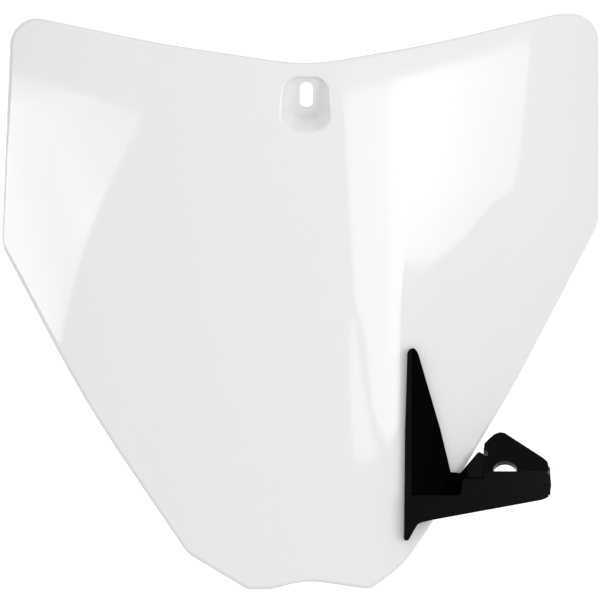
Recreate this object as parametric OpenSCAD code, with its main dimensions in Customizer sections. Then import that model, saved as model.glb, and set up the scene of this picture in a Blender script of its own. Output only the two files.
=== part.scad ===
// Racing number board: a raked, swept front plate with a brake hose guide screwed to its right wing.
// +X is the viewer's right, -Y the front and +Z up. The origin is the middle of the fixing slot, on the flat
// rear face of its boss. The plate is laid out in face coordinates: u across, v up along the face and w outward.

/* [Plate outline] */
// Bolt axis to the left edge
left_w = 145.8; // [125:0.1:165]
// Bolt axis to the right edge
right_w = 139.8; // [120:0.1:160]
// Height of the upper ears above the bolt axis, along the face
ear_h = 39; // [30:0.1:60]
// How far the left ear leans in from the left edge
ear_lean = 4.5; // [0:0.1:12]
// Width of the flat on top of the right ear
ear_flat = 20; // [14:0.1:40]
// Height of the dip in the top edge above the bolt axis
dip_h = 13.3; // [12:0.1:25]
// Drop of the left side corner below the bolt axis
left_drop = 72.5; // [50:0.1:100]
// Drop of the right side corner below the bolt axis
right_drop = 61.7; // [50:0.1:100]
// Drop of the bottom edge below the bolt axis
foot_drop = 236.8; // [210:0.1:270]
// Bolt axis to the left end of the bottom edge
foot_left = 28.2; // [24:0.1:45]
// Bolt axis to the right end of the bottom edge
foot_right = 30.5; // [20:0.1:38]
// Rise of the hump in the bottom edge
hump_h = 4.4; // [1:0.1:8]
// Bolt axis to the left chin corner
chin_left = 56.8; // [50:0.1:80]
// Rise of the left chin corner above the bottom edge
chin_rise = 17.1; // [8:0.1:40]
// Bolt axis to the tip of the right wing
wing_tip = 57.6; // [54:0.1:75]
// Rise of the wing tip above the bottom edge
wing_rise = 28; // [22:0.1:45]
// How far the top edges dip below a straight line
top_bow = 2.2; // [0:0.1:4]
// How far the left lower edge bulges
left_bow = 4.6; // [0:0.1:7]
// How far the right lower edge bulges
right_bow = 2.4; // [0:0.1:5]
// Corner radius of the upper ears
ear_r = 13; // [6:0.1:18]
// Corner radius of the lower corners
corner_r = 8; // [5:0.1:12]

/* [Plate form] */
// Lean of the plate back from upright, in degrees
rake = 24; // [10:0.5:35]
// Wall thickness
wall = 2.2; // [1.6:0.1:4]
// Depth of the rolled rim, over the wall
rim_h = 3.4; // [1:0.1:8]
// Thickness of the rolled rim
rim_t = 2; // [1.4:0.1:3.5]
// Rounding of the front edge
edge_r = 1.2; // [0.4:0.1:2]
// How far the sides sweep back, as one even curve
sweep = 20; // [10:0.5:35]
// How much further the side edges curl back
curl = 18; // [5:0.5:30]
// How far the top and bottom fall back
crown = 5; // [0:0.1:10]
// Bolt axis to the crease of the right wing
crease_u = 46.1; // [44:0.1:50]
// Drop of the crease's upper end below the bolt axis
crease_drop = 46; // [30:0.1:80]
// Angle that the right wing turns back at the bottom, in degrees
wing_turn = 27; // [18:0.5:32]

/* [Bolt recess] */
// Width of the recess at its floor
recess_w = 20; // [16:0.1:24]
// Height of the recess at its floor
recess_h = 21; // [18:0.1:24]
// Floor thickness
floor_t = 3; // [2:0.1:5]
// Depth from the plate's face to the rear of the boss
recess_d = 10; // [8:0.1:14]
// Draft of the recess walls, in degrees
recess_draft = 11; // [3:0.5:16]
// Corner radius of the recess
recess_r = 6.5; // [4:0.1:8]
// Width of the fixing slot
slot_w = 6.2; // [5:0.1:7]
// Height of the fixing slot
slot_h = 13.8; // [8:0.1:14.6]

/* [Lower lugs] */
// Distance between the two locating lugs
lug_pitch = 44; // [30:0.5:60]
// Rise of the lugs above the bottom edge
lug_rise = 40.8; // [34:0.1:60]
// Lug diameter
lug_d = 8; // [6:0.1:10]
// How far the lugs stand out behind the plate
lug_len = 16; // [10:0.5:25]

/* [Hose guide] */
// Wall thickness of the guide
guide_t = 2.4; // [1.8:0.1:3]
// Rise of the blade's tip above the bottom edge
blade_h = 115.2; // [95:0.1:125]
// Width of the blade at the trough
blade_w = 22.8; // [18:0.1:26]
// Crease to the outer end of the trough
trough_l = 70.7; // [66:0.1:80]
// Radius of the hose eye
eye_r = 5.6; // [4:0.1:7]
// Thickness of the eye plate
eye_t = 3; // [2:0.1:4]
// Crease to the middle of the eye
eye_out = 48.7; // [48:0.1:50]
// Rise of the eye's middle above the bottom edge
eye_rise = 55.4; // [54:0.1:57]
// Lean of the eye's axis up from the face, in degrees
eye_lean = 38; // [34:0.5:42]
// Gap between the trough's front wall and the eye's middle
eye_gap = 8.3; // [7.5:0.1:10]
// How far the front wall stands before the blade
trough_step = 1.5; // [0.5:0.1:4]
// Clearance between the guide and the plate
fit_gap = 0.3; // [0.1:0.05:0.6]

/* [Guide screws] */
// Shank diameter
screw_d = 4; // [3:0.1:4.5]
// Shank length under the head
screw_len = 6.8; // [6:0.1:7.2]
// Head diameter
head_d = 8; // [6:0.1:9]
// Head height
head_h = 2.6; // [1.5:0.1:3.5]
// Clearance round the shank, on radius
screw_gap = 0.1; // [0.05:0.01:0.3]

/* [Hidden] */
white = [0.93, 0.93, 0.93];
black = [0.07, 0.07, 0.075];
steel = [0.72, 0.73, 0.75];
eps = 0.01;
bow_r = 600;
dip_r = 100;
arc_step = 11;
edge_step = 13;
rings = 11;
back_rings = 7;
half_w = (left_w + right_w) / 2;
half_h = (ear_h + foot_drop) / 2;
mid_v = (ear_h - foot_drop) / 2;

// Corner points of the outline, clockwise from the left ear: u, v and radius
ear_left = [ear_lean - left_w, ear_h];
dip = [0, dip_h];
ear_right_in = [right_w - ear_flat, ear_h - 0.8];
side_right = [right_w, -right_drop];
tip = [wing_tip, wing_rise - foot_drop];
crease_end = [crease_u, 11.5 - foot_drop];
chin = [-chin_left, chin_rise - foot_drop];
side_left = [-left_w, -left_drop];
corners = [
    [ear_left, ear_r],
    [bowed(ear_left, dip, -top_bow), bow_r],
    [dip, dip_r],
    [bowed(dip, ear_right_in, -top_bow), bow_r],
    [ear_right_in, 3 * ear_r],
    [[right_w, ear_h - 0.8], ear_r],
    [side_right, 2 * corner_r],
    [bowed(side_right, tip, right_bow), bow_r],
    [tip, corner_r],
    [crease_end, 6 * corner_r],
    [[foot_right, -foot_drop], corner_r],
    [[0, hump_h - foot_drop], 5 * corner_r],
    [[11 - foot_left, -foot_drop], 2 * corner_r],
    [[-foot_left, -foot_drop], corner_r],
    [chin, 2 * corner_r],
    [bowed(chin, side_left, left_bow), bow_r],
    [side_left, 2 * corner_r]
];

// Middle of a straight edge pushed out of the plate by h; edges run clockwise
function bowed(a, b, h) = (a + b) / 2 + h * [a[1] - b[1], b[0] - a[0]] / norm(b - a);
function unit(a) = a / norm(a);
function turn(a, b) = atan2(a[0] * b[1] - a[1] * b[0], a * b);
function polar(a) = [cos(a), sin(a)];
function heading(a) = atan2(a[1], a[0]);

// One rounded corner: centre, radius, side of the centre, start heading and turn
function corner_arc(i) =
    let (n = len(corners), p = corners[i][0], r = corners[i][1])
    let (d0 = unit(p - corners[(i + n - 1) % n][0]), d1 = unit(corners[(i + 1) % n][0] - p))
    let (a = turn(d0, d1), s = sign(a), t = r * tan(abs(a) / 2))
    [p - d0 * t + s * r * [-d0[1], d0[0]], r, s, heading(d0), a];
arcs = [for (i = [0 : len(corners) - 1]) corner_arc(i)];

// Point of an arc at fraction f of its turn, with the outline moved in by d
function arc_point(c, f, d) = c[0] + (c[1] + c[2] * d) * polar(c[3] + c[4] * f - 90 * c[2]);
function arc_count(c) = max(2, ceil(abs(c[4]) / arc_step));
function edge_count(i) =
    ceil(norm(arc_point(arcs[(i + 1) % len(arcs)], 0, 0) - arc_point(arcs[i], 1, 0)) / edge_step);

// The whole outline moved in by d, clockwise, with the same points for every d
function outline(d) = [
    for (i = [0 : len(arcs) - 1])
        let (c = arcs[i], n = arc_count(c), m = edge_count(i), b = arc_point(arcs[(i + 1) % len(arcs)], 0, d))
            each concat(
                [for (k = [0 : n]) arc_point(c, k / n, d)],
                m < 2 ? [] : [for (k = [1 : m - 1]) arc_point(c, 1, d) * (1 - k / m) + b * k / m]
            )
];

// Height of the plate's face over the boss: swept sides, crowned height and the wing turned back at its crease
function swept(u) = -sweep * pow(u / half_w, 2) - curl * pow(u / half_w, 4);
function crowned(v) = -crown * pow((v - mid_v) / half_h, 2);
function wing_share(v) = pow(max(0, (-crease_drop - v) / (foot_drop - crease_drop)), 1.6);
function folded(u, v) = -tan(wing_turn) * wing_share(v) * max(0, u - crease_u);
function face(u, v) = recess_d - crowned(0) + swept(u) + crowned(v) + folded(u, v);
function slope_u(u, v) = (face(u + 0.5, v) - face(u - 0.5, v));

// From face coordinates to the part's frame
function placed(u, v, w) = [u, v * sin(rake) - w * cos(rake), v * cos(rake) + w * sin(rake)];
module on_face() rotate([90 - rake, 0, 0]) children();

// One closed loop of the shell, moved in by d and sunk by h below the face
function loop(d, h) = [for (p = outline(d)) placed(p[0], p[1], face(p[0], p[1]) - h)];
// A loop shrunk towards the upper end of the crease, so that the crease lies along one row of edges
function shrunk(d, h, s) = [
    for (p = outline(d)) let (q = hub + (p - hub) * s) placed(q[0], q[1], face(q[0], q[1]) - h)
];
hub = [crease_u, -crease_drop];

// Shell of the plate: face, rounded edge, rolled rim and back as one closed skin
module shell() {
    loops = concat(
        [for (k = [1 : rings - 1]) shrunk(edge_r, 0, pow(k / rings, 0.85))],
        [for (a = [0 : 30 : 90]) loop(edge_r * (1 - sin(a)), edge_r * (1 - cos(a)))],
        [loop(0, wall + rim_h), loop(rim_t, wall + rim_h), loop(rim_t, wall)],
        [for (k = [back_rings - 1 : -1 : 1]) shrunk(rim_t, wall, pow(k / back_rings, 0.85))]
    );
    n = len(loops[0]);
    last = len(loops) - 1;
    points = concat(
        [for (l = loops) each l],
        [placed(hub[0], hub[1], face(hub[0], hub[1])), placed(hub[0], hub[1], face(hub[0], hub[1]) - wall)]
    );
    front_hub = len(points) - 2;
    polyhedron(points, concat(
        [for (i = [0 : n - 1]) [front_hub, i, (i + 1) % n]],
        [for (k = [0 : last - 1], i = [0 : n - 1])
            let (a = k * n + i, b = k * n + (i + 1) % n) each [[a, a + n, b], [b, a + n, b + n]]],
        [for (i = [0 : n - 1]) [front_hub + 1, last * n + (i + 1) % n, last * n + i]]
    ));
}

module rounded(w, h, r) offset(r) square([w - 2 * r, h - 2 * r], center = true);
module slab(w, h, r, z) translate([0, 0, z]) linear_extrude(eps) rounded(w, h, r, $fn = 32);

// The recess as a solid along the bolt, grown by g on its walls: rounded floor, then drafted walls
module recess_form(g, z0, z1) {
    flare = 2 * tan(recess_draft);
    soft = 2.4;
    rotate([90, 0, 0]) hull() {
        slab(recess_w + 2 * g - 2 * soft, recess_h + 2 * g - 2 * soft, recess_r + g - soft, z0);
        slab(recess_w + 2 * g - 0.6 * soft, recess_h + 2 * g - 0.6 * soft, recess_r + g - 0.3 * soft, z0 + 0.3 * soft);
        slab(recess_w + 2 * g, recess_h + 2 * g, recess_r + g, z0 + soft);
        slab(recess_w + 2 * g + flare * (z1 - z0), recess_h + 2 * g + flare * (z1 - z0), recess_r + g, z1);
    }
}

// Upright slot or pad with round ends, along the bolt from y0 to y1
module stadium(w, h, y0, y1) {
    for (s = [-1, 1])
        translate([0, y0, s * (h - w) / 2]) rotate([-90, 0, 0]) cylinder(d = w, h = y1 - y0, $fn = 40);
    translate([-w / 2, y0, -(h - w) / 2]) cube([w, y1 - y0, h - w]);
}

// The space behind the plate's face near the recess, up to height w
module behind_face(w) on_face() translate([-recess_span, -recess_span, w - 2 * recess_span])
    cube(2 * recess_span);
recess_span = 3 * recess_h;

// Gussets between the recess and the back of the plate
gusset_t = 2;
gusset_reach = 26;
function middle_at(a, r) = face(r * cos(a), r * sin(a)) - wall / 2;
module gusset(a, start) {
    end = start + gusset_reach;
    rotate([90, 0, a]) linear_extrude(gusset_t, center = true)
        polygon([[start, middle_at(a, start)], [end, middle_at(a, end)], [end, middle_at(a, end) - wall], [start, wall / 2]]);
}
module gussets() on_face() {
    gusset(0, recess_w / 2);
    gusset(180, recess_w / 2);
    gusset(-90, 0.65 * recess_h);
}

// The guide's points are measured from the foot of the crease: u outward, v up
foot = [crease_u, -foot_drop];

// Places on the face of the right wing where the guide is screwed on
screw_places = [for (p = [[10.6, 73], [11.4, 45.8]]) foot + p];
pad_rear = 4.4;
pad_d = head_d + 2.6;
function wing_angle(p) = atan(-slope_u(p[0], p[1]));
module at_screw(p) on_face() translate([p[0], p[1], face(p[0], p[1])]) rotate([0, wing_angle(p), 0]) children();

lug_lead = 1.2;
lug_web = lug_len - 7;
module lugs() {
    lug_v = lug_rise - foot_drop;
    for (s = [-1, 1]) on_face() translate([s * lug_pitch / 2, lug_v, face(s * lug_pitch / 2, lug_v) - wall / 2]) {
        translate([0, 0, -lug_len]) cylinder(d = lug_d, h = lug_len, $fn = 40);
        translate([0, 0, -lug_len - lug_lead]) cylinder(d1 = lug_d - 2 * lug_lead, d2 = lug_d, h = lug_lead, $fn = 40);
        for (a = [0, 90]) rotate([90, 0, a]) linear_extrude(gusset_t, center = true)
            polygon([[-lug_d, 0], [lug_d, 0], [lug_d / 2 - 0.5, -lug_web], [0.5 - lug_d / 2, -lug_web]]);
    }
}

module number_plate() color(white) {
    difference() {
        union() {
            shell();
            intersection() {
                recess_form(wall, 1, 26);
                behind_face(recess_d - wall / 2);
            }
            gussets();
            stadium(slot_w + 10, slot_h + 8, -2, 0);
            lugs();
            for (p = screw_places) at_screw(p)
                translate([0, 0, -pad_rear]) cylinder(d = pad_d, h = pad_rear - wall / 2, $fn = 40);
        }
        recess_form(0, floor_t, 30);
        stadium(slot_w, slot_h, -floor_t - 1, 1);
        for (p = screw_places) at_screw(p)
            translate([0, 0, -pad_rear - 1]) cylinder(d = screw_d + 4 * screw_gap, h = pad_rear + 5, $fn = 40);
    }
}

// The guide is laid out on a plane over the crease, which clears the plate at both ends of the blade
lift = 0.8;
blade_top = foot + [2.5, blade_h - 2.6];
blade_foot = foot + [1.3, 24];
guide_tilt = atan((face(blade_top[0], blade_top[1]) - face(blade_foot[0], blade_foot[1]) - 0.3)
    / (blade_top[1] - blade_foot[1]));
guide_w = face(blade_top[0], blade_top[1]) + fit_gap + guide_t + lift;
function plane_at(v) = guide_w + (v - blade_top[1]) * sin(guide_tilt);
module on_guide() on_face() translate([foot[0], blade_top[1], guide_w]) rotate([guide_tilt, 0, 0])
    translate([0, foot[1] - blade_top[1], 0]) children();

// How deep the web stands behind the guide's plane, u from the crease: it follows the wing under the blade's edge
blade_foot_h = 55.5;
function edge_rise(u) = blade_h - (blade_h - blade_foot_h) * (u - 6.2) / (blade_w - 6.2);
function depth_at(u) = let (v = foot[1] + edge_rise(u))
    min(0, face(foot[0] + u, v) + fit_gap + guide_t + lift - plane_at(v));
root = depth_at(blade_w);
web_plan = [
    [-1, 0], [4, 0], [12, depth_at(12)], [blade_w, root], [blade_w + 8, root - 2], [blade_w + 20, root - 2]
];
// Height of the web's middle over the boss, u and v in face coordinates
function web_at(u, v) = plane_at(v) + lookup(u - foot[0], web_plan) - guide_t / 2;

// Outlines of the guide's walls, from the foot of the crease
wall_top = 56.4;
ledge_top = 52.6;
step_top = 44.9;
wall_low = 32.9;
inner_u = 38.5;
low_end = 43.2;
web_outline = [
    [0.4, 23.3], [0.9, 75.8], [2, blade_h - 2.6], [2.7, blade_h - 0.9], [4.3, blade_h], [5.7, blade_h - 0.4],
    [6.8, blade_h - 1.9], [7.5, blade_h - 3.6], [17.7, 76.6], [blade_w, blade_foot_h], [blade_w + 4.6, ledge_top + 2.5],
    [35.6, wall_top + 8.4], [36.5, wall_top + 8.8], [inner_u - 0.5, wall_top + 7.9], [inner_u + 0.9, wall_top + 7.8],
    [inner_u + 0.9, 38.4], [12.6, wall_low + 0.3], [8.8, wall_low - 0.5], [6.9, 31.1], [2.5, 23.3]
];
trough_wall = [
    [0.9, 26], [1, step_top], [26.6, step_top], [27.8, step_top + 1.2], [28.3, ledge_top - 0.9],
    [29.2, ledge_top], [inner_u - 0.6, ledge_top], [inner_u + 1.4, ledge_top + 0.9], [inner_u + 3, wall_top],
    [trough_l - 2.9, wall_top], [trough_l - 0.5, wall_top - 1.9],
    [trough_l, wall_top - 6.9], [trough_l - 0.5, wall_top - 9.7], [trough_l - 2.1, low_end + 0.5],
    [trough_l - 4.6, low_end - 0.5], [12.6, wall_low], [8.9, wall_low - 0.9], [6.9, 31], [3.7, 26]
];
trough_floor = [[12.8, wall_low + 0.2], [12.8, wall_low + 2.5], [inner_u + 0.5, 40.4], [inner_u + 0.5, 38.1]];
// The eye plate, u from the crease and distance along the plate from the eye
eye_outline = [
    [inner_u + 0.2, -14.2], [inner_u + 0.2, 15.8], [inner_u + 1.9, 17.9], [43.5, 21.4], [46.3, 22.7], [48.5, 22.3],
    [trough_l - 3.8, 7.6], [trough_l - 1.7, 5.3], [trough_l - 1.1, 2], [trough_l - 0.7, -8.4], [trough_l - 1.5, -14.2]
];
// Side walls of the trough, v against depth
wall_back = trough_step - 0.5;
outer_side = [[wall_top - 2.4, wall_back], [57.8, -12.2], [54.6, -11.2], [44.6, -2], [45.3, wall_back]];
inner_side = [[ledge_top - 0.6, wall_back], [63.4, -8], [66.9, -18.2], [41.8, -1.5], [38.8, wall_back]];
side_t = 0.8 * guide_t;

// A shape drawn in plan, u against depth, drawn out along the guide
module along_guide() translate([0, blade_h + guide_t, 0]) rotate([90, 0, 0]) linear_extrude(blade_h) children();
module web_strip() {
    n = len(web_plan) - 1;
    along_guide() polygon(concat(web_plan, [for (i = [n : -1 : 0]) web_plan[i] - [0, guide_t]]));
}
module soft(r) offset(r) offset(-r) children();
// A wall of the guide in its plane, from depth z upward
module flat_wall(z, t) on_guide() translate([0, 0, z]) linear_extrude(t) children();
// A side wall that stands across the guide at u
module cross_wall(u, t) on_guide() translate([u, 0, 0]) rotate([90, 0, 90]) linear_extrude(t) children();

// Rib behind the web along a to b, down to the wing less the clearance
module fin(a, b) {
    steps = 6;
    run = norm(b - a);
    at = [for (k = [0 : steps]) a + (b - a) * k / steps];
    top = [for (p = at) web_at(p[0], p[1])];
    low = [for (k = [0 : steps]) min(top[k] - 0.1, face(at[k][0] - side_t, at[k][1]) + 2 * fit_gap)];
    on_face() translate([a[0], a[1], 0]) rotate([90, 0, heading(b - a)]) linear_extrude(side_t)
        polygon(concat(
            [for (k = [0 : steps]) [run * k / steps, top[k]]],
            [for (k = [steps : -1 : 0]) [run * k / steps, low[k]]]
        ));
}

// Blade and web, with blind bosses for the screws that reach from the wing into the web
boss_d = screw_d + 4.4;
function boss_h(p) = (web_at(p[0], p[1]) - face(p[0], p[1])) * cos(wing_angle(p));
module web() difference() {
    union() {
        on_guide() intersection() {
            web_strip();
            translate([0, 0, -blade_h]) linear_extrude(2 * blade_h) soft(0.8) polygon(web_outline);
        }
        for (p = screw_places) at_screw(p)
            translate([0, 0, 2 * fit_gap]) cylinder(d = boss_d, h = boss_h(p) - 2 * fit_gap, $fn = 40);
    }
    for (p = screw_places) at_screw(p) translate([0, 0, -1])
        cylinder(d = screw_d + 2 * screw_gap, h = screw_len - pad_rear + 1.4, $fn = 40);
}

module trough() {
    flat_wall(trough_step - guide_t, guide_t) soft(0.8) polygon(trough_wall);
    on_guide() intersection() {
        along_guide() polygon(concat(
            [[-1, wall_back], [blade_w + 20, wall_back]],
            [for (i = [len(web_plan) - 1 : -1 : 0]) web_plan[i] - [0, guide_t / 2]]
        ));
        translate([0, 0, 2 * root]) linear_extrude(-4 * root) polygon(trough_floor);
    }
    cross_wall(trough_l - 0.4 - guide_t, guide_t) polygon(outer_side);
    cross_wall(inner_u, side_t) polygon(inner_side);
}

module eye_frame() translate([eye_out, eye_rise, trough_step - guide_t - eye_gap]) rotate([-eye_lean, 0, 0])
    children();

module eye_plate() on_guide() eye_frame() difference() {
    translate([-eye_out, 0, -eye_t / 2]) linear_extrude(eye_t) soft(1.6) polygon(eye_outline);
    translate([0, 0, -eye_t]) cylinder(r = eye_r, h = 2 * eye_t, $fn = 64);
}

module hose_guide() color(black) {
    web();
    trough();
    eye_plate();
    fin(foot + [8.6, edge_rise(9)], foot + [blade_w - 1.8, edge_rise(blade_w - 1.4)]);
}

module guide_screws() color(steel) for (p = screw_places) at_screw(p) translate([0, 0, -pad_rear]) {
    cylinder(d = screw_d, h = screw_len - 0.6, $fn = 40);
    translate([0, 0, screw_len - 0.6]) cylinder(d1 = screw_d, d2 = screw_d - 1, h = 0.6, $fn = 40);
    difference() {
        translate([0, 0, -head_h]) cylinder(d1 = head_d - 2, d2 = head_d, h = head_h, $fn = 40);
        translate([0, 0, -head_h - 1]) cylinder(d = head_d / 2, h = 1 + head_h / 2, $fn = 6);
    }
}

number_plate();
hose_guide();
guide_screws();
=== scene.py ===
# Looks of the racing number board: a fine skin of the plate over its CAD node, the guide and its screws.
# Sizes are in millimetres, as in the part's source, and become metres when a mesh is made.
# Face coordinates: u across, v up along the face, w outward.
# Heights z along the bolt are over the rear of the plate's boss.
import math

import bmesh
import bpy
import numpy as np
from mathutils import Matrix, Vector, geometry


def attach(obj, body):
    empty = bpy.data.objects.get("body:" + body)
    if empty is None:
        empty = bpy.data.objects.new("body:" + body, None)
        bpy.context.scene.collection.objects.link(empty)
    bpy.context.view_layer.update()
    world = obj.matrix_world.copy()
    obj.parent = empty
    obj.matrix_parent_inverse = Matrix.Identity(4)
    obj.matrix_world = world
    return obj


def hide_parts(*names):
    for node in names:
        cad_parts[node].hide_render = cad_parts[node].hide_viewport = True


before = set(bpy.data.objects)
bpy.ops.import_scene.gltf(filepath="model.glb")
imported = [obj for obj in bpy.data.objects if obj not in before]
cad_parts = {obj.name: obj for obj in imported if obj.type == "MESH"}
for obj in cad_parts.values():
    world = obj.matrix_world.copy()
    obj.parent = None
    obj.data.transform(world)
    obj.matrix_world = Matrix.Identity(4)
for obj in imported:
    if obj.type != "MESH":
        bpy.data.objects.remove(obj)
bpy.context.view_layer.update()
MM = 0.001

# Sizes of the outline, from the bolt's axis. The left side stays 0.02 inside the solid's.
LEFT_W = 145.78
RIGHT_W = 139.8
EAR_H = 39
EAR_LEAN = 4.5
EAR_FLAT = 20
EAR_STEP = 0.8
DIP_H = 13.3
LEFT_DROP = 72.5
RIGHT_DROP = 61.7
FOOT_DROP = 236.8
FOOT_LEFT = 28.2
FOOT_RIGHT = 30.5
FOOT_FLAT = 11
HUMP_H = 4.4
CHIN_LEFT = 56.8
CHIN_RISE = 17.1
CREASE_FOOT = 11.5
WING_TIP = 57.6
WING_RISE = 28
TOP_BOW = 2.2
LEFT_BOW = 4.6
RIGHT_BOW = 2.4
EAR_R = 13
CORNER_R = 8
BOW_R = 600
DIP_R = 100

# Sizes of the plate's form. The shown front edge is rounder than the solid's.
RAKE = math.radians(24)
WALL = 2.2
RIM_H = 3.4
RIM_T = 2.0
RIM_EDGE_R = 0.4
RIM_FILLET = 0.8
EDGE_R = 1.9
SWEEP = 20
CURL = 18
CROWN = 5
CREASE_U = 46.1
CREASE_DROP = 46
CREASE_SOFT = 0.9
WING_TURN = math.radians(27)
FOLD_POWER = 1.6
HALF_W = (LEFT_W + RIGHT_W) / 2
HALF_H = (EAR_H + FOOT_DROP) / 2
MID_V = (EAR_H - FOOT_DROP) / 2

# Sizes of the bolt recess. Its shown floor is narrower than the solid's, as in the photograph.
RECESS_W = 20
RECESS_H = 21
RECESS_R = 6.5
RECESS_D = 10
RECESS_SOFT = 2.4
RECESS_TOP = 30
RECESS_DRAFT = math.radians(11)
FLOOR_T = 3
FLOOR_W = 12.6
FLOOR_U = 1.0
FLOOR_R = 4.5
FLOOR_FILLET = 0.9
LIP_R = 1.6
REAR_LIP_R = 2.2
REAR_EDGE_R = 2.6
SLOT_W = 6.2
SLOT_H = 13.8
SLOT_EDGES = [(0.5, FLOOR_T), (0.15, FLOOR_T - 0.15), (0, FLOOR_T - 0.5), (0, 0.4), (0.3, 0)]
SEAT_STEP = 1
SEAT_EDGES = [(5, SEAT_STEP), (5, 0.3), (4.7, 0)]

# Sizes of what stands behind the plate. A gusset has its direction, its start, its foot and its end.
GUSSET_T = 2
GUSSETS = [(0, 12.3, 11.4, 36), (math.pi, 12.3, 11.4, 36), (-math.pi / 2, 20, 14, 39.65)]
GUSSET_FOOT = WALL / 2 + 1.4
LUG_U = 22
LUG_RISE = 40.8
LUG_D = 8
LUG_LEN = 16
LUG_LEAD = 1.2
LUG_WEB = 9
LUG_WEB_STEP = 0.5
PAD_D = 10.6
PAD_REAR = 4.4
PADS = [(CREASE_U + 10.6, 73 - FOOT_DROP), (CREASE_U + 11.4, 45.8 - FOOT_DROP)]

# Fineness of the meshes
ARC_STEP = math.radians(3)
EDGE_STEP = 2.5
FRONT_STEP = 3.5
BACK_STEP = 5
CREASE_STEP = 2.5
CREASE_LINES = (-3, -1.8, -1, -0.5, 0, 0.5, 1, 1.8, 3)
CREASE_CLEAR = 4
CREASE_LEAD = 4
CREASE_END = 15
ROW_SHARE = 0.866
EDGE_CLEAR = 1.6
HOLE_CLEAR = 1.4
LIP_ROWS = 7
WALL_ROWS = 6
HALVINGS = 40
LOWEST, HIGHEST = -40.0, 60.0


# Face and outline
def face(u, v):
    """Height of the plate's face over the rear of its boss."""
    share = (np.maximum(0, -CREASE_DROP - v) / (FOOT_DROP - CREASE_DROP)) ** FOLD_POWER
    x = u - CREASE_U
    fold = -math.tan(WING_TURN) * share * (x + np.sqrt(x * x + CREASE_SOFT**2)) / 2
    swept = -SWEEP * (u / HALF_W) ** 2 - CURL * (u / HALF_W) ** 4
    crowned = CROWN * ((MID_V / HALF_H) ** 2 - ((v - MID_V) / HALF_H) ** 2)
    return RECESS_D + swept + crowned + fold


def face_at(u, v):
    """Height of the face at one place, as a plain number."""
    return float(face(np.array(float(u)), np.array(float(v))))


def placed(u, v, w):
    """From face coordinates to the part's frame."""
    s, c = math.sin(RAKE), math.cos(RAKE)
    return np.stack(np.broadcast_arrays(u, v * s - w * c, v * c + w * s), -1)


def to_face(points):
    """From the part's frame to face coordinates."""
    s, c = math.sin(RAKE), math.cos(RAKE)
    return points[:, 0], points[:, 1] * s + points[:, 2] * c, -points[:, 1] * c + points[:, 2] * s


def face_normal(u, v, e=0.02):
    """Outward direction of the face, in the part's frame."""
    du = (face(u + e, v) - face(u - e, v)) / (2 * e)
    dv = (face(u, v + e) - face(u, v - e)) / (2 * e)
    n = np.stack([-du, -dv, np.ones_like(du)], -1)
    n /= np.linalg.norm(n, axis=-1, keepdims=True)
    return placed(n[..., 0], n[..., 1], n[..., 2])


def bowed(a, b, h):
    """The middle between two corners, moved aside by h."""
    a, b = np.array(a), np.array(b)
    d = b - a
    return list((a + b) / 2 + h * np.array([-d[1], d[0]]) / np.linalg.norm(d))


EAR = [EAR_LEAN - LEFT_W, EAR_H]
DIP = [0, DIP_H]
EAR_IN = [RIGHT_W - EAR_FLAT, EAR_H - EAR_STEP]
EAR_OUT = [RIGHT_W, EAR_H - EAR_STEP]
SIDE_R = [RIGHT_W, -RIGHT_DROP]
TIP = [WING_TIP, WING_RISE - FOOT_DROP]
CHIN = [-CHIN_LEFT, CHIN_RISE - FOOT_DROP]
SIDE_L = [-LEFT_W, -LEFT_DROP]

# The outline's corners with their radii, clockwise
CORNERS = [
    (EAR, EAR_R), (bowed(EAR, DIP, -TOP_BOW), BOW_R), (DIP, DIP_R),
    (bowed(DIP, EAR_IN, -TOP_BOW), BOW_R), (EAR_IN, 3 * EAR_R), (EAR_OUT, EAR_R),
    (SIDE_R, 2 * CORNER_R), (bowed(SIDE_R, TIP, RIGHT_BOW), BOW_R), (TIP, CORNER_R),
    ([CREASE_U, CREASE_FOOT - FOOT_DROP], 6 * CORNER_R), ([FOOT_RIGHT, -FOOT_DROP], CORNER_R),
    ([0, HUMP_H - FOOT_DROP], 5 * CORNER_R), ([FOOT_FLAT - FOOT_LEFT, -FOOT_DROP], 2 * CORNER_R),
    ([-FOOT_LEFT, -FOOT_DROP], CORNER_R), (CHIN, 2 * CORNER_R),
    (bowed(CHIN, SIDE_L, LEFT_BOW), BOW_R), (SIDE_L, 2 * CORNER_R),
]


def corner_arcs():
    """Centre, radius, side, first direction and turn of each rounded corner."""
    arcs = []
    for i, (p, r) in enumerate(CORNERS):
        p = np.array(p, float)
        d0 = p - np.array(CORNERS[i - 1][0])
        d1 = np.array(CORNERS[(i + 1) % len(CORNERS)][0]) - p
        d0, d1 = d0 / np.linalg.norm(d0), d1 / np.linalg.norm(d1)
        a = math.atan2(d0[0] * d1[1] - d0[1] * d1[0], float(d0 @ d1))
        s = math.copysign(1, a)
        centre = p - d0 * r * math.tan(abs(a) / 2) + s * r * np.array([-d0[1], d0[0]])
        arcs.append((centre, r, s, math.atan2(d0[1], d0[0]), a))
    return arcs


ARCS = corner_arcs()


def arc_point(arc, f, d):
    """The point at the share f of an arc, moved in by d."""
    centre, r, s, start, a = arc
    t = start + a * f - s * math.pi / 2
    return centre + (r + s * d) * np.array([math.cos(t), math.sin(t)])


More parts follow.
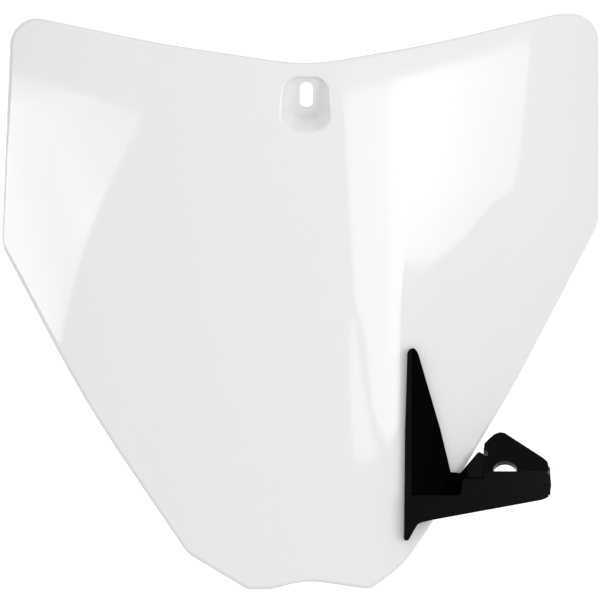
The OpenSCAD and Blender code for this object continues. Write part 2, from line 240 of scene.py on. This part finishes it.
def outline(d):
    """The outline moved in by d, clockwise, with the same points for every d."""
    out = []
    for i, arc in enumerate(ARCS):
        nxt = ARCS[(i + 1) % len(ARCS)]
        n = max(3, math.ceil(abs(arc[4]) / ARC_STEP))
        n = max(n, math.ceil(abs(arc[4]) * arc[1] / EDGE_STEP))
        m = max(1, math.ceil(np.linalg.norm(arc_point(nxt, 0, 0) - arc_point(arc, 1, 0)) / EDGE_STEP))
        out += [arc_point(arc, k / n, d) for k in range(n + 1)]
        a, b = arc_point(arc, 1, d), arc_point(nxt, 0, d)
        out += [a + (b - a) * k / m for k in range(1, m)]
    return np.array(out)


def inside(points, loop):
    """Which points lie in the closed loop."""
    x, y = points[:, 0][:, None], points[:, 1][:, None]
    a, b = loop, np.roll(loop, -1, 0)
    cross = (a[:, 1] > y) != (b[:, 1] > y)
    with np.errstate(divide="ignore", invalid="ignore"):
        at = a[:, 0] + (y - a[:, 1]) * (b[:, 0] - a[:, 0]) / (b[:, 1] - a[:, 1])
    return (np.sum(cross & (x < at), 1) % 2) == 1


def near(points, loop, gap):
    """Which points lie closer than the gap to a point of the loop."""
    d = np.linalg.norm(points[:, None, :] - loop[None, :, :], axis=2)
    return d.min(1) < gap


# A mesh built of loops and filled skins
class Build:
    """Vertices in millimetres, faces, and the vertices whose normals are known."""

    def __init__(self):
        self.verts, self.faces, self.known = [], [], {}

    def loop(self, points):
        start = len(self.verts)
        self.verts += [tuple(map(float, p)) for p in points]
        return list(range(start, start + len(points)))

    def points(self, row):
        return np.array([self.verts[i] for i in row])

    def bridge(self, a, b):
        n = len(a)
        for i in range(n):
            j = (i + 1) % n
            self.faces.append((a[i], a[j], b[j], b[i]))

    def loft(self, loops):
        """Joins loops of points, one after another, and returns the vertices of each."""
        rows = [self.loop(points) for points in loops]
        for a, b in zip(rows, rows[1:]):
            self.bridge(a, b)
        return rows

    def fill(self, flat, outer, holes, extra, lift, normal=None):
        """Fills between the outer row and the holes. flat gives each row's plane coordinates, extra has free
        points, and lift places a point."""
        rows = [outer] + holes
        coords = np.concatenate([np.array(flat[i]) for i in range(len(rows))] + [extra])
        edges, at = [], 0
        for r in rows:
            n = len(r)
            edges += [(at + i, at + (i + 1) % n) for i in range(n)]
            at += n
        given = [i for r in rows for i in r]
        out = geometry.delaunay_2d_cdt([Vector(c) for c in coords], edges, [], 0, 1e-5)
        co = np.array([list(v) for v in out[0]])
        index = []
        for k, origin in enumerate(out[3]):
            old = [o for o in origin if o < len(given)]
            if old:
                index.append(given[old[0]])
                continue
            index.append(len(self.verts))
            self.verts.append(tuple(map(float, lift(co[k, 0], co[k, 1]))))
            if normal is not None:
                self.known[index[-1]] = normal(co[k, 0], co[k, 1])
        tri = np.array([list(f) for f in out[2]])
        mid = co[tri].mean(1)
        keep = inside(mid, np.array(flat[0]))
        for k in range(1, len(rows)):
            keep &= ~inside(mid, np.array(flat[k]))
        self.faces += [tuple(index[i] for i in t) for t in tri[keep]]

    def fill_level(self, outer, hole, z):
        """Fills between two rows at the same height along the bolt."""
        flat = [self.points(row)[:, ::2] for row in (outer, hole)]
        self.fill(flat, outer, [hole], np.zeros((0, 2)), lambda x, up: (x, -z, up))

    def solid(self, loops):
        """A closed lump: a loft with its ends closed."""
        rows = self.loft(loops)
        self.faces.append(tuple(rows[0]))
        self.faces.append(tuple(reversed(rows[-1])))

    def to_object(self, name, smooth=True):
        mesh = bpy.data.meshes.new(name)
        mesh.from_pydata([tuple(c * MM for c in v) for v in self.verts], [], self.faces)
        bm = bmesh.new()
        bm.from_mesh(mesh)
        bmesh.ops.recalc_face_normals(bm, faces=bm.faces)
        bm.to_mesh(mesh)
        bm.free()
        mesh.update()
        if smooth:
            mesh.shade_smooth()
        if self.known:
            normals = np.array([list(n.vector) for n in mesh.vertex_normals])
            for i, n in self.known.items():
                normals[i] = n
            mesh.normals_split_custom_set_from_vertices(normals.tolist())
        o = bpy.data.objects.new(name, mesh)
        bpy.context.scene.collection.objects.link(o)
        return o


# The recess along the bolt
def rounded_rect(w, h, r, n=14, along=8):
    """Rounded rectangle in x and z, with the outward direction of each point."""
    pts, out = [], []
    quarter = [(1, 1, 0), (-1, 1, 90), (-1, -1, 180), (1, -1, 270)]
    for k, (sx, sz, a0) in enumerate(quarter):
        cx, cz = sx * (w / 2 - r), sz * (h / 2 - r)
        for i in range(n + 1):
            a = math.radians(a0 + 90 * i / n)
            pts.append((cx + r * math.cos(a), cz + r * math.sin(a)))
            out.append((math.cos(a), math.sin(a)))
        nx, nz, _ = quarter[(k + 1) % 4]
        end = np.array(pts[-1])
        run = np.array([nx * (w / 2 - r) - cx, nz * (h / 2 - r) - cz])
        for i in range(1, along):
            pts.append(tuple(end + run * i / along))
            out.append(out[-1])
    return np.array(pts), np.array(out)


SECTION, OUTWARD = rounded_rect(RECESS_W, RECESS_H, RECESS_R)
FLOOR_SECTION = rounded_rect(FLOOR_W, RECESS_H, FLOOR_R)[0] + np.array([FLOOR_U, 0])


def wall_out(z, grow, z0):
    """How far the recess wall stands out from its section at height z over the rear face."""
    slope = math.tan(RECESS_DRAFT) * (RECESS_TOP - z0) / (RECESS_TOP - z0 - RECESS_SOFT)
    return grow + slope * (z - z0 - RECESS_SOFT)


def along_bolt(out, z):
    """The recess section grown by out, at a height along the bolt, in the part's frame."""
    xz = SECTION + OUTWARD * np.reshape(out, (-1, 1))
    return np.stack([xz[:, 0], -np.broadcast_to(z, len(xz)), xz[:, 1]], -1)


def onto_face(out, sunk):
    """The recess section grown by out and moved along the bolt until it lies in the face, sunk behind it."""
    lo, hi = np.full(len(SECTION), LOWEST), np.full(len(SECTION), HIGHEST)
    for _ in range(HALVINGS):
        z = (lo + hi) / 2
        grow = out(z) if callable(out) else out
        u, v, w = to_face(along_bolt(grow, z))
        under = w < face(u, v) - sunk
        lo, hi = np.where(under, z, lo), np.where(under, hi, z)
    grow = out(z) if callable(out) else out
    return along_bolt(grow, z), z


def bezier(a, b, c, n):
    """Rows of points on a curve from a to c that leaves and arrives along b."""
    return [a * (1 - t) ** 2 + 2 * b * t * (1 - t) + c * t * t for t in [k / n for k in range(n + 1)]]


def recess_rows(grow, z0, sunk, lip, floor_r, floor=None):
    """Rows of the recess from the face down to its floor at z0, with rounded lip and floor."""
    corner, z = onto_face(lambda q: wall_out(q, grow, z0), sunk)
    rim, _ = onto_face(wall_out(z, grow, z0) + lip, sunk)
    below = along_bolt(wall_out(z - lip, grow, z0), z - lip)
    rows = bezier(rim, corner, below, LIP_ROWS)
    if floor is None:
        start = along_bolt(wall_out(z0 + floor_r, grow, z0), z0 + floor_r)
        foot = along_bolt(wall_out(z0, grow, z0), z0)
        end = along_bolt(wall_out(z0, grow, z0) - floor_r, z0)
    else:
        foot = np.stack([floor[:, 0], np.full(len(floor), -float(z0)), floor[:, 1]], -1)
        slope = below - foot
        start = foot + slope * floor_r / np.linalg.norm(slope, axis=1, keepdims=True)
        end = foot - floor_r * np.stack([OUTWARD[:, 0], np.zeros(len(floor)), OUTWARD[:, 1]], -1)
    rows += [below + (start - below) * k / WALL_ROWS for k in range(1, WALL_ROWS)]
    return rows + bezier(start, foot, end, LIP_ROWS)


def stadium(w, h, n=24):
    """An upright slot's outline in x and z."""
    r = w / 2
    pts = []
    for s, a0 in ((1, 0), (-1, 180)):
        for i in range(n + 1):
            a = math.radians(a0 + 180 * i / n)
            pts.append((r * math.cos(a), s * (h / 2 - r) + r * math.sin(a)))
    return np.array(pts)


def slot_row(grow, z):
    """The slot's outline grown on all sides, at a height along the bolt."""
    p = stadium(SLOT_W + 2 * grow, SLOT_H + 2 * grow)
    return np.stack([p[:, 0], np.full(len(p), -float(z)), p[:, 1]], -1)


# The plate's skin
def grid(lo, hi, step):
    """Points in rows, each row moved by half a step."""
    us, vs = np.arange(lo[0], hi[0], step), np.arange(lo[1], hi[1], step * ROW_SHARE)
    pts = [(u + (step / 2 if j % 2 else 0), v) for j, v in enumerate(vs) for u in us]
    return np.array(pts)


def free_points(edge, hole, step):
    """Points for a skin between its edge and the recess, in close lines along the crease."""
    points = grid((-LEFT_W, -FOOT_DROP), (RIGHT_W, EAR_H), step)
    heights = np.arange(-CREASE_DROP - CREASE_LEAD, CREASE_END - FOOT_DROP, -CREASE_STEP)
    crease = [(CREASE_U + x, v) for x in CREASE_LINES for v in heights]
    off_crease = (abs(points[:, 0] - CREASE_U) > CREASE_CLEAR) | (points[:, 1] > -CREASE_DROP)
    points = np.concatenate([points[off_crease], crease])
    points = points[inside(points, edge) & ~inside(points, hole)]
    return points[~near(points, edge, EDGE_CLEAR) & ~near(points, hole, HOLE_CLEAR)]


def rim_section():
    """The rim's section from the front skin round to the back skin, as ways in and ways behind the face."""
    depth = WALL + RIM_H
    r, fillet = RIM_EDGE_R, RIM_FILLET
    quarter = [math.radians(a) for a in (0, 15, 30, 45, 60, 75, 90)]
    coarse = quarter[::2]
    section = [(EDGE_R * (1 - math.sin(a)), EDGE_R * (1 - math.cos(a))) for a in quarter]
    section += [(0, EDGE_R + 0.2), (0, depth - r - 0.1)]
    section += [(r * (1 - math.cos(a)), depth - r * (1 - math.sin(a))) for a in coarse]
    section += [(RIM_T - r + r * math.sin(a), depth - r * (1 - math.cos(a))) for a in coarse]
    return section + [(RIM_T + fillet * (1 - math.cos(a)), WALL + fillet * (1 - math.sin(a))) for a in coarse]


def build_plate():
    b = Build()
    section = rim_section()
    rows = []
    for d, h in section:
        p = outline(d)
        rows.append(placed(p[:, 0], p[:, 1], face(p[:, 0], p[:, 1]) - h))
    rows = b.loft(rows)
    edge_in, back_in = outline(section[0][0]), outline(section[-1][0])
    for i, p in zip(rows[0], edge_in):
        b.known[i] = face_normal(p[0], p[1])

    # Recess: the front opening down to the floor and the slot, the rear box and its seat
    front = b.loft(recess_rows(0, FLOOR_T, 0, LIP_R, FLOOR_FILLET, FLOOR_SECTION))
    rear = b.loft(recess_rows(WALL, SEAT_STEP, WALL, REAR_LIP_R, REAR_EDGE_R))
    slot = b.loft([slot_row(grow, z) for grow, z in SLOT_EDGES])
    seat = b.loft([slot_row(grow, z) for grow, z in SEAT_EDGES])
    b.fill_level(front[-1], slot[0], FLOOR_T)
    b.fill_level(rear[-1], seat[0], SEAT_STEP)
    b.fill_level(seat[-1], slot[-1], 0)

    # Front and back skins
    mouth, rear_mouth = [np.stack(to_face(b.points(row))[:2], -1) for row in (front[0], rear[0])]
    for i, p in zip(front[0], mouth):
        b.known[i] = face_normal(p[0], p[1])
    for edge, edge_row, hole, hole_row, sunk, sign, step in (
        (edge_in, rows[0], mouth, front[0], 0, 1, FRONT_STEP),
        (back_in, rows[-1], rear_mouth, rear[0], WALL, -1, BACK_STEP),
    ):
        b.fill([edge, hole], edge_row, [hole_row], free_points(edge, hole, step),
               lambda u, v: placed(u, v, face(u, v) - sunk),
               lambda u, v: sign * face_normal(u, v))
    return b.to_object("plate_skin")


# What stands behind the plate
def turned(points, origin, angle, tilt=0.0):
    """Local points, z outward, turned about z and tilted about v, at a place of the face."""
    p = np.array(points, float)
    c, s = math.cos(angle), math.sin(angle)
    x, y, z = p[:, 0] * c - p[:, 1] * s, p[:, 0] * s + p[:, 1] * c, p[:, 2]
    ct, st = math.cos(tilt), math.sin(tilt)
    return placed(origin[0] + x * ct + z * st, origin[1] + y, origin[2] + z * ct - x * st)


def slab(b, profile, t, origin, angle):
    """A plain rib: a profile of reach and height, t thick."""
    b.solid([turned([(x, s * t / 2, z) for x, z in profile], origin, angle) for s in (-1, 1)])


def rod(b, places, origin, tilt=0.0, n=40):
    """A turned lump from radii and heights."""
    ring = [(math.cos(2 * math.pi * i / n), math.sin(2 * math.pi * i / n)) for i in range(n)]
    b.solid([turned([(r * x, r * y, h) for x, y in ring], origin, 0.0, tilt) for r, h in places])


def build_gussets(b):
    """Gussets round the recess, from the middle of the plate's wall to the boss."""
    for angle, start, foot, end in GUSSETS:
        c, s = math.cos(angle), math.sin(angle)
        root, tip = [face_at(r * c, r * s) - WALL / 2 for r in (start, end)]
        profile = [(start, root), (end, tip), (end, tip - WALL), (foot, GUSSET_FOOT)]
        slab(b, profile, GUSSET_T, (0, 0, 0), angle)


def build_lugs(b):
    """The two locating lugs with their cross webs."""
    r = LUG_D / 2
    web = [(-LUG_D, 0), (LUG_D, 0), (r - LUG_WEB_STEP, -LUG_WEB), (LUG_WEB_STEP - r, -LUG_WEB)]
    v = LUG_RISE - FOOT_DROP
    for u in (-LUG_U, LUG_U):
        origin = (u, v, face_at(u, v) - WALL / 2)
        rod(b, [(r, 0), (r, -LUG_LEN), (r - LUG_LEAD, -LUG_LEN - LUG_LEAD)], origin)
        for angle in (0, math.pi / 2):
            slab(b, web, GUSSET_T, origin, angle)


def build_pads(b, e=0.5):
    """The pads under the screws, square to the wing."""
    for u, v in PADS:
        tilt = -math.atan((face_at(u + e, v) - face_at(u - e, v)) / (2 * e))
        rod(b, [(PAD_D / 2, -WALL / 2), (PAD_D / 2, -PAD_REAR)], (u, v, face_at(u, v)), tilt)


def build_back():
    b = Build()
    build_gussets(b)
    build_lugs(b)
    build_pads(b)
    return b.to_object("plate_back", smooth=False)


# Materials
PLASTIC_IOR = 1.5


def node_material(name, color, roughness):
    m = bpy.data.materials.new(name)
    m.use_nodes = True
    bsdf = m.node_tree.nodes["Principled BSDF"]
    bsdf.inputs["Base Color"].default_value = (*color, 1)
    bsdf.inputs["Roughness"].default_value = roughness
    bsdf.inputs["IOR"].default_value = PLASTIC_IOR
    return m, bsdf


def bump(m, bsdf, scale, strength, distance, detail=3):
    """Fine mould texture as a bump. The distance is in metres."""
    nodes, link = m.node_tree.nodes, m.node_tree.links.new
    noise, coords, b = [nodes.new("ShaderNode" + kind) for kind in ("TexNoise", "TexCoord", "Bump")]
    noise.inputs["Scale"].default_value = scale
    noise.inputs["Detail"].default_value = detail
    b.inputs["Strength"].default_value = strength
    b.inputs["Distance"].default_value = distance
    link(coords.outputs["Object"], noise.inputs["Vector"])
    link(noise.outputs["Fac"], b.inputs["Height"])
    link(b.outputs["Normal"], bsdf.inputs["Normal"])


def white_gloss():
    m, bsdf = node_material("white_gloss", (0.75, 0.75, 0.75), 0.05)
    bump(m, bsdf, 180, 0.02, 0.0002)
    return m


def black_moulded():
    m, bsdf = node_material("black_moulded", (0.0008, 0.0008, 0.0009), 0.13)
    bsdf.inputs["Specular IOR Level"].default_value = 0.17
    bump(m, bsdf, 900, 0.15, 0.0002)
    return m


def zinc_steel():
    m, bsdf = node_material("zinc_steel", (0.62, 0.63, 0.65), 0.28)
    bsdf.inputs["Metallic"].default_value = 1
    bump(m, bsdf, 1500, 0.1, 0.0001)
    return m


# Pieces
BACK_BEVEL = 0.35
GUIDE_BEVEL = 0.3
SCREW_BEVEL = 0.25


def soften(o, width):
    """Small rounded edges."""
    o.data.shade_smooth()
    bevel = o.modifiers.new("soft_edges", "BEVEL")
    bevel.width = width * MM
    bevel.segments = 3
    bevel.limit_method = "ANGLE"
    bevel.angle_limit = math.radians(32)
    bevel.harden_normals = True


white = white_gloss()
plate = build_plate()
back = build_back()
soften(back, BACK_BEVEL)
for o in (plate, back):
    o.data.materials.append(white)
    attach(o, "root")
    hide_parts("number_plate")

for name, material, width in (("hose_guide", black_moulded(), GUIDE_BEVEL),
                              ("guide_screws", zinc_steel(), SCREW_BEVEL)):
    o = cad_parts[name]
    o.data.materials.clear()
    o.data.materials.append(material)
    soften(o, width)

# Camera, square on to the face
CENTRE_U = -3.1
CENTRE_V = -98.7
CENTRE_SUNK = 8
VIEW_DISTANCE = 12500.0
FRAME_WIDTH = 286.4
SENSOR = 36
CLIP_END = 100

centre = placed(CENTRE_U, CENTRE_V, face_at(0, CENTRE_V) - CENTRE_SUNK) * MM
outward = placed(0.0, 0.0, 1.0)
upward = placed(0.0, 1.0, 0.0)
across = np.array([1.0, 0, 0])
cam_data = bpy.data.cameras.new("camera")
cam_data.sensor_width = SENSOR
cam_data.lens = SENSOR * VIEW_DISTANCE / FRAME_WIDTH
cam_data.clip_end = CLIP_END
camera = bpy.data.objects.new("camera", cam_data)
bpy.context.scene.collection.objects.link(camera)
camera.location = centre + outward * VIEW_DISTANCE * MM
camera.rotation_euler = Vector(-outward).to_track_quat("-Z", "Y").to_euler()
bpy.context.scene.camera = camera
bpy.context.scene.view_settings.view_transform = "Standard"

# Places in the studio. The picture's scale and the bolt's place in it are the photograph's.
MM_PER_PIXEL = 0.4774
BOLT_X = 306.5
BOLT_Y = 93.2
NEAR, MIDDLE, FAR = 1300.0, 1400.0, 1450.0


def shown_at(x, y, reach=MIDDLE):
    """The place in the studio that the camera sees mirrored at picture point x, y of the plate."""
    u, v = (x - BOLT_X) * MM_PER_PIXEL, (BOLT_Y - y) * MM_PER_PIXEL
    n = face_normal(np.array(u), np.array(v))
    p = placed(u, v, face_at(u, v)) * MM
    to_camera = np.array(camera.location) - p
    to_camera /= np.linalg.norm(to_camera)
    return p + (2 * float(n @ to_camera) * n - to_camera) * reach * MM


def mirrored(points, reach=MIDDLE):
    """The places that the camera sees mirrored at a line of picture points."""
    return [shown_at(x, y, reach) for x, y in points]


def toward(azimuth, elevation, reach=MIDDLE):
    """A place in the studio in a direction from the plate, in degrees right of and above the camera."""
    a, e = math.radians(azimuth), math.radians(elevation)
    d = across * math.sin(a) * math.cos(e) + upward * math.sin(e) + outward * math.cos(a) * math.cos(e)
    return centre + d * reach * MM


def side(azimuth):
    """X, in metres, of a direction on the cards' circle."""
    return MIDDLE * MM * math.sin(math.radians(azimuth))


def directions(angles, reach=MIDDLE):
    """Places in the studio at pairs of azimuth and elevation."""
    return [toward(azimuth, elevation, reach) for azimuth, elevation in angles]


def stops_toward(stops):
    """Stops at directions, in degrees, as stops along X."""
    return [(side(azimuth), strength) for azimuth, strength in stops]


# Glowing cards that make the highlights
def map_range(nodes, low, high, at_low, at_high):
    """A node that takes values between low and high to others."""
    n = nodes.new("ShaderNodeMapRange")
    for socket, value in (("From Min", low), ("From Max", high), ("To Min", at_low), ("To Max", at_high)):
        n.inputs[socket].default_value = value
    return n


def math_node(nodes, operation, a, b, link):
    """A sum, product or greater of an output and another output or a number."""
    n = nodes.new("ShaderNodeMath")
    n.operation = operation
    link(a, n.inputs[0])
    if isinstance(b, float):
        n.inputs[1].default_value = b
    else:
        link(b, n.inputs[1])
    return n.outputs[0]


def stops_along(nodes, link, x, stops):
    """Strength that runs evenly from stop to stop along x."""
    xs, top = [x0 for x0, _ in stops], float(max(v for _, v in stops))
    scale = map_range(nodes, min(xs), max(xs), 0, 1)
    curve = nodes.new("ShaderNodeFloatCurve")
    points = curve.mapping.curves[0].points
    while len(points) < len(stops):
        points.new(0.5, 0.5)
    for point, (x0, v) in zip(points, sorted(stops)):
        point.location = ((x0 - min(xs)) / (max(xs) - min(xs)), v / top)
        point.handle_type = "VECTOR"
    curve.mapping.update()
    link(x, scale.inputs["Value"])
    link(scale.outputs[0], curve.inputs["Value"])
    return math_node(nodes, "MULTIPLY", curve.outputs[0], top, link)


def faded(nodes, link, split, strength, fade):
    """The strength times a share, which is 1 at the height high. It sets in from x0 to x1."""
    low, high, share, x0, x1 = fade
    by_height = map_range(nodes, low, high, share, 1)
    by_side = map_range(nodes, x0, x1, 0, 1)
    link(split.outputs["Z"], by_height.inputs["Value"])
    link(split.outputs["X"], by_side.inputs["Value"])
    mix = nodes.new("ShaderNodeMix")
    mix.inputs["A"].default_value = 1
    link(by_side.outputs[0], mix.inputs["Factor"])
    link(by_height.outputs[0], mix.inputs["B"])
    return math_node(nodes, "MULTIPLY", strength, mix.outputs[0], link)


def new_object(name, verts, faces):
    mesh = bpy.data.meshes.new(name)
    mesh.from_pydata([tuple(v) for v in verts], [], faces)
    o = bpy.data.objects.new(name, mesh)
    bpy.context.scene.collection.objects.link(o)
    return o


def light_card(name, corners, stops, fade=None):
    """A glowing card. stops gives its strength at places along X, in metres."""
    o = new_object(name, corners, [tuple(range(len(corners)))])
    m = bpy.data.materials.new(name)
    m.use_nodes = True
    nodes, link = m.node_tree.nodes, m.node_tree.links.new
    nodes.clear()
    glow, out = nodes.new("ShaderNodeEmission"), nodes.new("ShaderNodeOutputMaterial")
    coords, split = nodes.new("ShaderNodeTexCoord"), nodes.new("ShaderNodeSeparateXYZ")
    link(coords.outputs["Object"], split.inputs[0])
    strength = stops_along(nodes, link, split.outputs["X"], stops)
    if fade:
        strength = faded(nodes, link, split, strength, fade)
    link(strength, glow.inputs["Strength"])
    link(glow.outputs[0], out.inputs["Surface"])
    o.data.materials.append(m)
    o.visible_camera = o.visible_diffuse = o.visible_shadow = False


# Borders of the highlights in the picture, in its pixels
LEFT_TOP_LINE = [(13, 73), (60, 88), (120, 108.5), (141, 115)]
LEFT_INNER_LINE = [(140, 122), (131, 140), (102, 200), (77, 270), (65, 320), (61, 340)]
RIGHT_TOP_LINE = [(343, 93), (350, 92), (420, 73), (470, 58.5), (531, 39)]
WING_LINE = [(521, 150), (506, 193), (463, 240), (429, 268), (406, 262)]
STRIP_LINE = [(401, 300), (399, 420), (388, 444), (380, 430), (371, 400), (369, 370), (366, 340), (355, 300),
              (349, 200)]
SLIVER_LINE = [(355, 318), (357.5, 340), (360.5, 370), (366.5, 400), (372, 430), (379, 450), (372, 461),
               (354, 461), (350, 400), (350, 340), (351, 318)]
WING_LOW = (430, 255)
WING_HIGH = (430, 150)

# The left side: the card runs on beyond the plate's edge. A fade has its low and high heights in metres, the
# share at the low one, and the two X between which it sets in.
LEFT_END = [(-70, -3), (-110, -3), (-110, 5)]
LEFT_STOPS = [(-1.38, 3.7), (-1.1, 3.9), (-1.0, 4.8), (-0.9, 3.3), (-0.63, 1.5)]
LEFT_FADE = (0.1, 0.25, 1.6, -3, -2)
light_card("left_card", mirrored(LEFT_TOP_LINE + LEFT_INNER_LINE) + directions(LEFT_END), LEFT_STOPS,
           LEFT_FADE)

# The right side: the strip left of the crease, the glow on the wing, and the sliver beside the strip
RIGHT_STOPS = [(3, 1.9), (6, 2.7), (11.5, 3.1), (13, 5.0), (22, 4.5), (29, 3.5), (38, 2.8), (47, 2.5)]
SLIVER_STOPS = [(3, 2.3), (12, 2.1)]
WING_SHARE = 0.68
WING_FROM, WING_TO = 11.5, 14
wing_fade = (shown_at(*WING_LOW)[2], shown_at(*WING_HIGH)[2], WING_SHARE, side(WING_FROM), side(WING_TO))
light_card("right_card", mirrored(RIGHT_TOP_LINE + WING_LINE + STRIP_LINE), stops_toward(RIGHT_STOPS),
           wing_fade)
light_card("sliver_card", mirrored(SLIVER_LINE, NEAR), stops_toward(SLIVER_STOPS))

# Weak glows over the highlights, up to the plate's top edge
UPPER_TOP = [(1, 30), (62, 34)]
UPPER_STOPS = [(0, 0.6), (4, 0.9), (30, 0.25), (44, 0.05), (60, 0.2)]
light_card("upper_card",
           mirrored(RIGHT_TOP_LINE[:1], FAR) + directions(UPPER_TOP, FAR)
           + mirrored(RIGHT_TOP_LINE[:0:-1], FAR),
           stops_toward(UPPER_STOPS))
UPPER_LEFT_TOP = [(-84, 34), (-24, 30)]
UPPER_LEFT_END = [(-84, 6)]
UPPER_LEFT_STOPS = [(-84, 1.9), (-45, 1.1), (-24, 0.6)]
light_card("upper_left_card",
           directions(UPPER_LEFT_TOP, FAR) + mirrored(LEFT_TOP_LINE[::-1], FAR)
           + directions(UPPER_LEFT_END, FAR),
           stops_toward(UPPER_LEFT_STOPS))

# The dim side of the studio, behind the other cards, darker to the right
DIM_REACH = 1900
DIM_HALF = 9000
DIM_STOPS = [(-9, 1.3), (-2.2, 1.5), (-1.2, 0.9), (-0.8, 0.5), (0.2, 0.3), (0.6, 0.02), (9, 0.02)]
light_card("dark_card",
           [centre + (across * x * DIM_HALF + upward * y * DIM_HALF + outward * DIM_REACH) * MM
            for x, y in ((-1, -1), (1, -1), (1, 1), (-1, 1))],
           DIM_STOPS)

# World: white to the camera, and for light a level by how far a direction points to the camera's side
BACK_LEVEL = 0.36
FRONT_LEVEL = 1.15
LEVEL_FROM, LEVEL_TO = -0.25, 0.5
REAR_LIFT = 0.6
REAR_FROM, REAR_TO = -0.7, -0.35


def build_world():
    world = bpy.data.worlds.new("studio")
    world.use_nodes = True
    bpy.context.scene.world = world
    nodes, link = world.node_tree.nodes, world.node_tree.links.new
    coords, facing = nodes.new("ShaderNodeTexCoord"), nodes.new("ShaderNodeVectorMath")
    facing.operation = "DOT_PRODUCT"
    facing.inputs[1].default_value = outward
    level = map_range(nodes, LEVEL_FROM, LEVEL_TO, BACK_LEVEL, FRONT_LEVEL)
    level.interpolation_type = "SMOOTHSTEP"
    behind = map_range(nodes, REAR_FROM, REAR_TO, REAR_LIFT, 0)
    path, shown = nodes.new("ShaderNodeLightPath"), nodes.new("ShaderNodeMix")
    shown.inputs["B"].default_value = 1
    link(coords.outputs["Generated"], facing.inputs[0])
    link(facing.outputs["Value"], level.inputs["Value"])
    link(facing.outputs["Value"], behind.inputs["Value"])
    link(path.outputs["Is Camera Ray"], shown.inputs["Factor"])
    link(math_node(nodes, "ADD", level.outputs[0], behind.outputs[0], link), shown.inputs["A"])
    link(shown.outputs[0], nodes["Background"].inputs["Strength"])
    nodes["Background"].inputs["Color"].default_value = (1, 1, 1, 1)


# Key light from the right
KEY_W = 1.1
KEY_H = 0.9
KEY_POWER = 12
KEY_PLACE = (52, 4, 2500.0)


def build_key():
    data = bpy.data.lights.new("key", "AREA")
    data.shape = "RECTANGLE"
    data.size = KEY_W
    data.size_y = KEY_H
    data.energy = KEY_POWER
    key = bpy.data.objects.new("key", data)
    bpy.context.scene.collection.objects.link(key)
    key.location = Vector(toward(*KEY_PLACE))
    key.rotation_euler = (key.location - Vector(centre)).to_track_quat("Z", "Y").to_euler()
    key.visible_glossy = False


# Floor, white to the eye and in mirrors, with the object's shadow on it
FLOOR_HALF = 6.0
FLOOR_Z = -1.2
FLOOR_TONE = 0.62
FLOOR_GLOW = 0.6


def build_floor():
    h, z = FLOOR_HALF, FLOOR_Z
    floor = new_object("floor", [(-h, -h, z), (h, -h, z), (h, h, z), (-h, h, z)], [(0, 1, 2, 3)])
    m, bsdf = node_material("floor", (FLOOR_TONE, FLOOR_TONE, FLOOR_TONE), 0.9)
    nodes, link = m.node_tree.nodes, m.node_tree.links.new
    both, glow, path = [nodes.new("ShaderNode" + kind) for kind in ("AddShader", "Emission", "LightPath")]
    seen = math_node(nodes, "MAXIMUM", path.outputs["Is Camera Ray"], path.outputs["Is Glossy Ray"], link)
    seen = math_node(nodes, "MAXIMUM", seen, path.outputs["Is Transmission Ray"], link)
    link(math_node(nodes, "MULTIPLY", seen, FLOOR_GLOW, link), glow.inputs["Strength"])
    link(bsdf.outputs[0], both.inputs[0])
    link(glow.outputs[0], both.inputs[1])
    link(both.outputs[0], nodes["Material Output"].inputs["Surface"])
    floor.data.materials.append(m)


build_world()
build_key()
build_floor()
